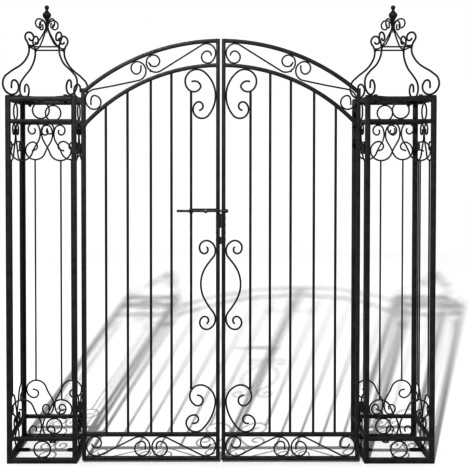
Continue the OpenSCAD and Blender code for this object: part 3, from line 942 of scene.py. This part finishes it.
def make_bars(piece, leaf):
    """Round bars from the rail to the inner arch, and the short one between the scrolls."""
    foot_z = CROSS_RAIL_Z[1] + FRAME_W
    for k, x in enumerate(LONG_BARS):
        head_z = ARCH_Z + math.sqrt((INNER_ARCH_R - FRAME_W / 2) ** 2 - x ** 2)
        bar = solid(round_outline(BAR_R, 20), foot_z - 1, head_z + 3)
        piece.add(bar, leaf @ at(x, LEAF_Y, 0))
        for j, z in enumerate((foot_z, head_z)):
            tilt = 0 if j == 0 else math.degrees(math.atan2(x, head_z - ARCH_Z))
            place = leaf @ at(x, LEAF_Y, z) @ turned(tilt, "Y")
            piece.add(bead(round_outline(BAR_R + 0.2, 16)(), 0.9, 840 + 2 * k + j), place)
    piece.add(solid(round_outline(BAR_R, 20), *SHORT_BAR_Z), leaf @ at(SHORT_BAR, LEAF_Y, 0))
    for k, z in enumerate((SHORT_BAR_Z[0] + 4, SHORT_BAR_Z[1] - 2)):
        piece.add(dab(*SHORT_BAR_DAB, 860 + k), leaf @ at(SHORT_BAR, LEAF_Y, z) @ ALONG_X)


def frame_near(x, z):
    """The -X leaf's frame as seen from (x, z): [(gap, x, z and angle of the nearest place)]."""
    near = [(abs(x + side), -side, z, 90) for side in (STILE_INNER, MEET_INNER)]
    low_rail, high_rail = CROSS_RAIL_Z
    for level in (low_rail + FRAME_W, high_rail, high_rail + FRAME_W):
        near.append((abs(z - level), x, level, 0))
    near.append((abs(x + LEAF_MIDDLE), -LEAF_MIDDLE, z, 90))
    radius = math.hypot(x, z - ARCH_Z)
    turn = math.degrees(math.atan2(-x, z - ARCH_Z))
    half = FRAME_W / 2
    for r in (OUTER_ARCH_R - half, INNER_ARCH_R + half, INNER_ARCH_R - half):
        gap = abs(radius - r) if z > ARCH_Z else math.inf
        near.append((gap, x * r / radius, ARCH_Z + (z - ARCH_Z) * r / radius, turn))
    return near


def touches(states, wire_r):
    """Where a scroll of the -X leaf comes against the frame: [(x, z, angle of the frame there)]."""
    seen = [frame_near(x, z) for x, z, _ in states]
    found = []
    for track in zip(*seen):
        for before, here, after in zip(track, track[1:], track[2:]):
            if here[0] < wire_r + TOUCH and here[0] <= before[0] and here[0] < after[0]:
                found.append(here[1:])
    return found


def make_leaf_scrolls(piece, leaf, chains, wire_r, seed):
    """Wires listed for the -X side, with a weld wherever one comes against the frame."""
    for i, (chain, mirrored) in enumerate(chains):
        states = bent(*chain)
        shell = wire(states, wire_r)
        twin = at(-2 * LEAF_MIDDLE, 0, 0) @ MIRROR_X if mirrored else IDENTITY
        place = leaf @ MIRROR_X @ at(0, LEAF_Y, 0) @ twin
        piece.add(shell, place @ UPRIGHT)
        for k, (x, z, turn) in enumerate(touches(states, wire_r)):
            lump = dab(*LEAF_SCROLL_DAB, seed + 10 * i + k)
            piece.add(lump, place @ at(x, 0, z) @ turned(-turn, "Y"))


def make_barrels(piece, leaf):
    """Barrels that turn on the pins, each with a lug to the hinge stile."""
    z0 = BRACKET_H + 0.1 - HINGE_H / 2
    z1 = HINGE_H / 2
    barrel = lathe([
        (BARREL_R - 0.5, z0), (BARREL_R, z0 + 0.5), (BARREL_R, z1 - 0.5), (BARREL_R - 0.5, z1),
        (BORE_R + 0.4, z1), (BORE_R, z1 - 0.4), (BORE_R, z0 + 0.4), (BORE_R + 0.4, z0),
    ], loop=True)
    reach = HINGE_GAP / 2 + 0.6
    start = BORE_R + 1.2
    lug = solid(oblong_outline(reach - start, 8, 0.6), z0, z1, 0.4)
    for k, z in enumerate(HINGE_Z):
        axis = leaf @ at(HINGE_X, LEAF_Y, z)
        piece.add(barrel, axis)
        piece.add(lug, axis @ at(-(reach + start) / 2, 0, 0))
        for side in (-1, 1):
            seam = axis @ at(-HINGE_GAP / 2 + 0.5, side * 4, (z0 + z1) / 2) @ ALONG_X
            piece.add(dab(*BARREL_DAB, 880 + 2 * k + side), seam)


# ---- Latch ----


def make_latch_bolt(piece):
    """Round bolt with a collar and a flat eye for a handle."""
    eye_x = bolt_low.x + EYE_R
    start = eye_x + EYE_HOLE_R + 1
    tip = bolt_high.x
    rod = lathe([
        (LATCH_R, start), (LATCH_R, tip - 1.1), (LATCH_R - 0.3, tip - 0.5),
        (LATCH_R - 1.2, tip - 0.05), (LATCH_R - 2, tip),
    ])
    collar = lathe([
        (LATCH_R, -4), (5.3, -4), (6, -3.3), (6, 3.3), (5.3, 4), (LATCH_R, 4),
    ])
    rim = EYE_R - 0.8
    lip = EYE_HOLE_R + 0.5
    t = EYE_HALF_T
    eye = lathe([
        (lip, -t), (rim, -t), (EYE_R, 1 - t), (EYE_R, t - 1), (rim, t), (lip, t),
        (EYE_HOLE_R, t - 0.6), (EYE_HOLE_R, 0.6 - t),
    ], loop=True)
    axis = at(0, LATCH_Y, LATCH_Z)
    piece.add(rod, axis @ ALONG_X)
    piece.add(collar, axis @ at(COLLAR_X, 0, 0) @ ALONG_X)
    piece.add(eye, axis @ at(eye_x, 0, 0))
    for k in (-1, 1):
        piece.add(dab(*EYE_DAB, 900 + k), axis @ at(eye_x + EYE_R + 0.4, 0, k * 2.0))


def bored_block(x, back_y):
    """A guide from its front face back to what it is welded to, bored along X."""
    low = (-GUIDE_FRONT, -GUIDE_HALF_H)
    high = (back_y - LATCH_Y, GUIDE_HALF_H)
    outline = [(y, z) for y, z, _ in corner_arcs(low, high, GUIDE_CORNER)]
    block = plate(outline, [hole(0, 0, LATCH_BORE_R)], GUIDE_L, 0.5)
    stand = Matrix(((0, 0, 1, 0), (1, 0, 0, 0), (0, 1, 0, 0), (0, 0, 0, 1)))
    return block, at(x - GUIDE_L / 2, LATCH_Y, LATCH_Z) @ stand


def make_guides(piece):
    """Two bored guides, and the strap behind them from the short bar to the meeting stile."""
    for x, back_y in ((-SHORT_BAR, LEAF_Y - BAR_R + 0.6), (-MEET_X, STILE_FRONT + 0.3)):
        piece.add(*bored_block(x, back_y))
    strap_x = (SHORT_BAR - BAR_R, MEET_INNER)
    strap_z = LATCH_Z + 2.5
    face = oblong_outline(strap_x[0] - strap_x[1] + 1, STRAP_H, 0.8)
    strap = solid(face, -STRAP_T / 2, STRAP_T / 2, 0.4)
    piece.add(strap, at(-sum(strap_x) / 2, LEAF_Y, strap_z) @ UPRIGHT)
    for k, x in enumerate((-SHORT_BAR + 4, -MEET_INNER - 1)):
        piece.add(dab(*STRAP_DAB, 910 + k), at(x, LEAF_Y - 1, strap_z) @ ALONG_X)


def add_strike_half(piece, outline, weld_x, seed):
    """One half of the strike plate, with a row of welds up its outer edge."""
    thickness = strike_high.y - strike_low.y
    piece.add(plate(outline, [], thickness, 0.5), at(0, strike_high.y, 0) @ UPRIGHT)
    for k in range(STRIKE_WELDS):
        z = strike_low.z + 12 + k * (strike_high.z - strike_low.z - 24) / (STRIKE_WELDS - 1)
        place = at(weld_x, strike_high.y - 0.2, z) @ ALONG_X
        piece.add(dab(*STRIKE_DAB, seed + k), place)


def make_strike_plate(piece):
    """Flat plate across the gap between the stiles, with a slot open to its free edge."""
    low, high = strike_low, strike_high
    slot_low, slot_high = STRIKE_SLOT_Z
    outline = [
        (low.x, low.z), (high.x, low.z), (high.x, slot_low), (STRIKE_SLOT_X, slot_low),
        (STRIKE_SLOT_X, slot_high), (high.x, slot_high), (high.x, high.z), (low.x, high.z),
    ]
    add_strike_half(piece, outline, low.x + 0.4, 920)


def make_keeper(piece):
    """Socket that takes the end of the bolt, closed by a ball, and the right half of the plate."""
    bore = LATCH_BORE_R
    outside = [
        (4.4, 1.2), (4.9, 1.7), (4.9, 12.5), (5.1, 13.6), (5.2, 15.7), (4.9, 17.6), (4.0, 19.2),
        (2.4, 20.4), (0.6, 20.9),
    ]
    inside = [(0.5, 17.2), (bore, 17.0), (bore, 1.6), (bore + 0.4, 1.2)]
    tube = lathe([*outside, *inside], loop=True)
    axis = at(0, LATCH_Y, LATCH_Z)
    piece.add(tube, axis @ ALONG_X)
    depth = STILE_FRONT - LATCH_Y
    high_x = meet_high.x
    foot = solid(oblong_outline(high_x - meet_low.x, depth - 0.4, 0.8), 3.2, 9, 0.5)
    for side in (IDENTITY, MIRROR_Z):
        piece.add(foot, at(MEET_X, LATCH_Y + depth / 2 + 0.2, LATCH_Z) @ side)
    left = strike_high.x + STRIKE_GAP
    bottom, top = strike_low.z, strike_high.z
    outline = [(left, bottom), (high_x, bottom), (high_x, top), (left, top)]
    add_strike_half(piece, outline, high_x - 0.4, 930)


# ---- Putting it together ----


def build(node, body, make, *args, material=COAT, slot=STEEL_SLOT):
    piece = Piece(node)
    make(piece, *args)
    piece.finish(body, material, slot)


def build_pillar(side):
    pillar = at(PILLAR_X[side], 0, 0)
    name = side + "_pillar_"
    crown = side + "_crown_"
    build(name + "posts", "pillars", make_posts, pillar)
    build(name + "top_rails", "pillars", make_rails, pillar, POST_W, top_rail_low.z)
    build(name + "upper_rails", "pillars", make_rails, pillar, RAIL_W, upper_low.z)
    build(name + "lower_rails", "pillars", make_rails, pillar, RAIL_W, lower_low.z)
    build(name + "bottom_rails", "pillars", make_rails, pillar, POST_W, 0)
    build(name + "rings", "pillars", make_rings, pillar)
    build(name + "scrolls", "pillars", make_scrolls, pillar)
    build(name + "rods", "pillars", make_rods, pillar)
    build(name + "anchor_lugs", "pillars", make_lugs, pillar)
    build(name + "hinge_pins", "pillars", make_hinge_pins, side)
    build(crown + "tabs", "pillars", make_tabs, pillar)
    build(crown + "cross_bars", "pillars", make_cross_bars, pillar)
    build(crown + "bolts", "pillars", make_bolts, pillar, material=FASTENER)
    build(crown + "legs", "pillars", make_legs, pillar)
    build(crown + "ring", "pillars", make_crown_ring, pillar)
    build(crown + "upper_scrolls", "pillars", make_upper_scrolls, pillar)
    build(crown + "stem", "pillars", make_stem, pillar)
    build(crown + "finial", "pillars", make_finial, pillar)


def build_leaf(side):
    leaf = IDENTITY if side == "right" else MIRROR_X
    body = side + "_leaf"
    name = body + "_"
    band = [(LOW_BAND, False), (LOW_BAND, True), (ARCH_BAND_1, False), (ARCH_BAND_2, False)]
    meeting = [(MEET_TOP, False), (MEET_MIDDLE, False), (MEET_LOW, False)]
    build(name + "hinge_stile", body, make_stile, leaf, STILE_X, stile_high.z)
    build(name + "meeting_stile", body, make_stile, leaf, MEET_X, meet_high.z)
    build(name + "stile_caps", body, make_caps, leaf, material=PLASTIC, slot=PLASTIC_SLOT)
    build(name + "outer_arch", body, make_arch, leaf, OUTER_ARCH_R)
    build(name + "inner_arch", body, make_arch, leaf, INNER_ARCH_R)
    build(name + "cross_rails", body, make_cross_rails, leaf)
    build(name + "bars", body, make_bars, leaf)
    build(name + "band_scrolls", body, make_leaf_scrolls, leaf, band, BAND_WIRE_R, 1000)
    build(name + "meeting_scrolls", body, make_leaf_scrolls, leaf, meeting, MEETING_WIRE_R, 1100)
    build(name + "hinge_barrels", body, make_barrels, leaf)


for gate_side in ("left", "right"):
    build_pillar(gate_side)
    build_leaf(gate_side)
build("latch_bolt", "latch_bolt", make_latch_bolt, material=FASTENER)
build("latch_guides", "left_leaf", make_guides)
build("latch_strike_plate", "left_leaf", make_strike_plate)
build("latch_keeper", "right_leaf", make_keeper)

# ---- Floor, light and camera, in metres ----
FLOOR_HALF = 12.0
FLOOR_DROP = 0.0002
FLOOR_COLOUR = (0.47, 0.47, 0.4735)
# Painted light: the floor is painted paler, up to this colour over this range of distances from the
# key light, to make up for the light falling off there.
FAR_PAINTED_LIGHT_COLOUR = (0.575, 0.575, 0.5785)
PAINTED_LIGHT_SPREAD = (3.7, 7.2)
# Painted light: beyond these distances from this centre the floor glows white, washing out far
# shadows and blending into the backdrop.
PAINTED_GLOW_CENTRE = (0.6, 1.0, 0.0)
PAINTED_GLOW_RANGE = (2.8, 4.0)
KEY_PLACE = (-0.785, -3.748, 2.769)
KEY_AIM = (0, 0, 0.5)
KEY_SIZE = 0.11
KEY_POWER = 22.5
WORLD_STRENGTH = 1.0
CAMERA_PLACE = (-0.0653, -2.304, 0.8997)
CAMERA_TILT = 1.2
CAMERA_LENS = 59.67
CAMERA_SHIFT = (0.0792, -0.15)
DISPLAY_GAMMA = 0.6


def make_floor():
    """Pale floor that fades into the white backdrop with distance: a painted white glow far off
    washes out the cast shadows, and its colour is painted paler away from the key light.
    """
    mesh = bpy.data.meshes.new("floor")
    signs = [(-1, -1), (1, -1), (1, 1), (-1, 1)]
    corners = [(x * FLOOR_HALF, y * FLOOR_HALF, -FLOOR_DROP) for x, y in signs]
    mesh.from_pydata(corners, [], [(0, 1, 2, 3)])
    floor = bpy.data.objects.new("floor", mesh)
    bpy.context.scene.collection.objects.link(floor)
    n = Nodes("pale_floor")
    from_light = n.distance((KEY_PLACE[0], KEY_PLACE[1], 0.0))
    near = n.blend(n.noise(6, 4), FLOOR_COLOUR, tuple(c * 1.03 for c in FLOOR_COLOUR))
    # Painted light: the floor colour grows paler away from the key light, making up for its
    # falloff.
    colour = n.blend(n.spread(from_light, *PAINTED_LIGHT_SPREAD), near, FAR_PAINTED_LIGHT_COLOUR)
    n.link(colour, n.shader.inputs["Base Color"])
    n.shader.inputs["Roughness"].default_value = 0.95
    n.shader.inputs["Specular IOR Level"].default_value = 0.0
    # Painted light: a white glow mixed in with distance washes out the far cast shadows.
    painted_glow = n.new("ShaderNodeEmission")
    painted_glow.inputs["Color"].default_value = (1, 1, 1, 1)
    mix = n.new("ShaderNodeMixShader")
    n.link(n.spread(n.distance(PAINTED_GLOW_CENTRE), *PAINTED_GLOW_RANGE), mix.inputs[0])
    n.link(n.shader.outputs[0], mix.inputs[1])
    n.link(painted_glow.outputs[0], mix.inputs[2])
    n.link(mix.outputs[0], n.tree.nodes["Material Output"].inputs["Surface"])
    mesh.materials.append(n.material)


def make_lights():
    world = bpy.data.worlds.new("studio")
    bpy.context.scene.world = world
    world.use_nodes = True
    background = world.node_tree.nodes["Background"]
    background.inputs["Color"].default_value = (1, 1, 1, 1)
    background.inputs["Strength"].default_value = WORLD_STRENGTH
    light = bpy.data.lights.new("key", "AREA")
    light.shape = "DISK"
    light.size = KEY_SIZE
    light.energy = KEY_POWER
    light.use_nodes = True
    tree = light.node_tree
    even = tree.nodes.new("ShaderNodeLightFalloff")
    tree.links.new(even.outputs["Constant"], tree.nodes["Emission"].inputs["Strength"])
    even.inputs["Strength"].default_value = 1.0
    key = bpy.data.objects.new("key", light)
    key.location = KEY_PLACE
    aim = Vector(KEY_AIM) - Vector(KEY_PLACE)
    key.rotation_euler = aim.to_track_quat("-Z", "Y").to_euler()
    bpy.context.scene.collection.objects.link(key)


def make_camera():
    lens = bpy.data.cameras.new("camera")
    lens.lens = CAMERA_LENS
    lens.sensor_width = 36
    lens.shift_x, lens.shift_y = CAMERA_SHIFT
    camera = bpy.data.objects.new("camera", lens)
    camera.location = CAMERA_PLACE
    camera.rotation_euler = (math.radians(90 - CAMERA_TILT), 0, 0)
    bpy.context.scene.collection.objects.link(camera)
    bpy.context.scene.camera = camera


make_floor()
make_lights()
make_camera()
bpy.context.scene.view_settings.view_transform = "Standard"
bpy.context.scene.view_settings.gamma = DISPLAY_GAMMA
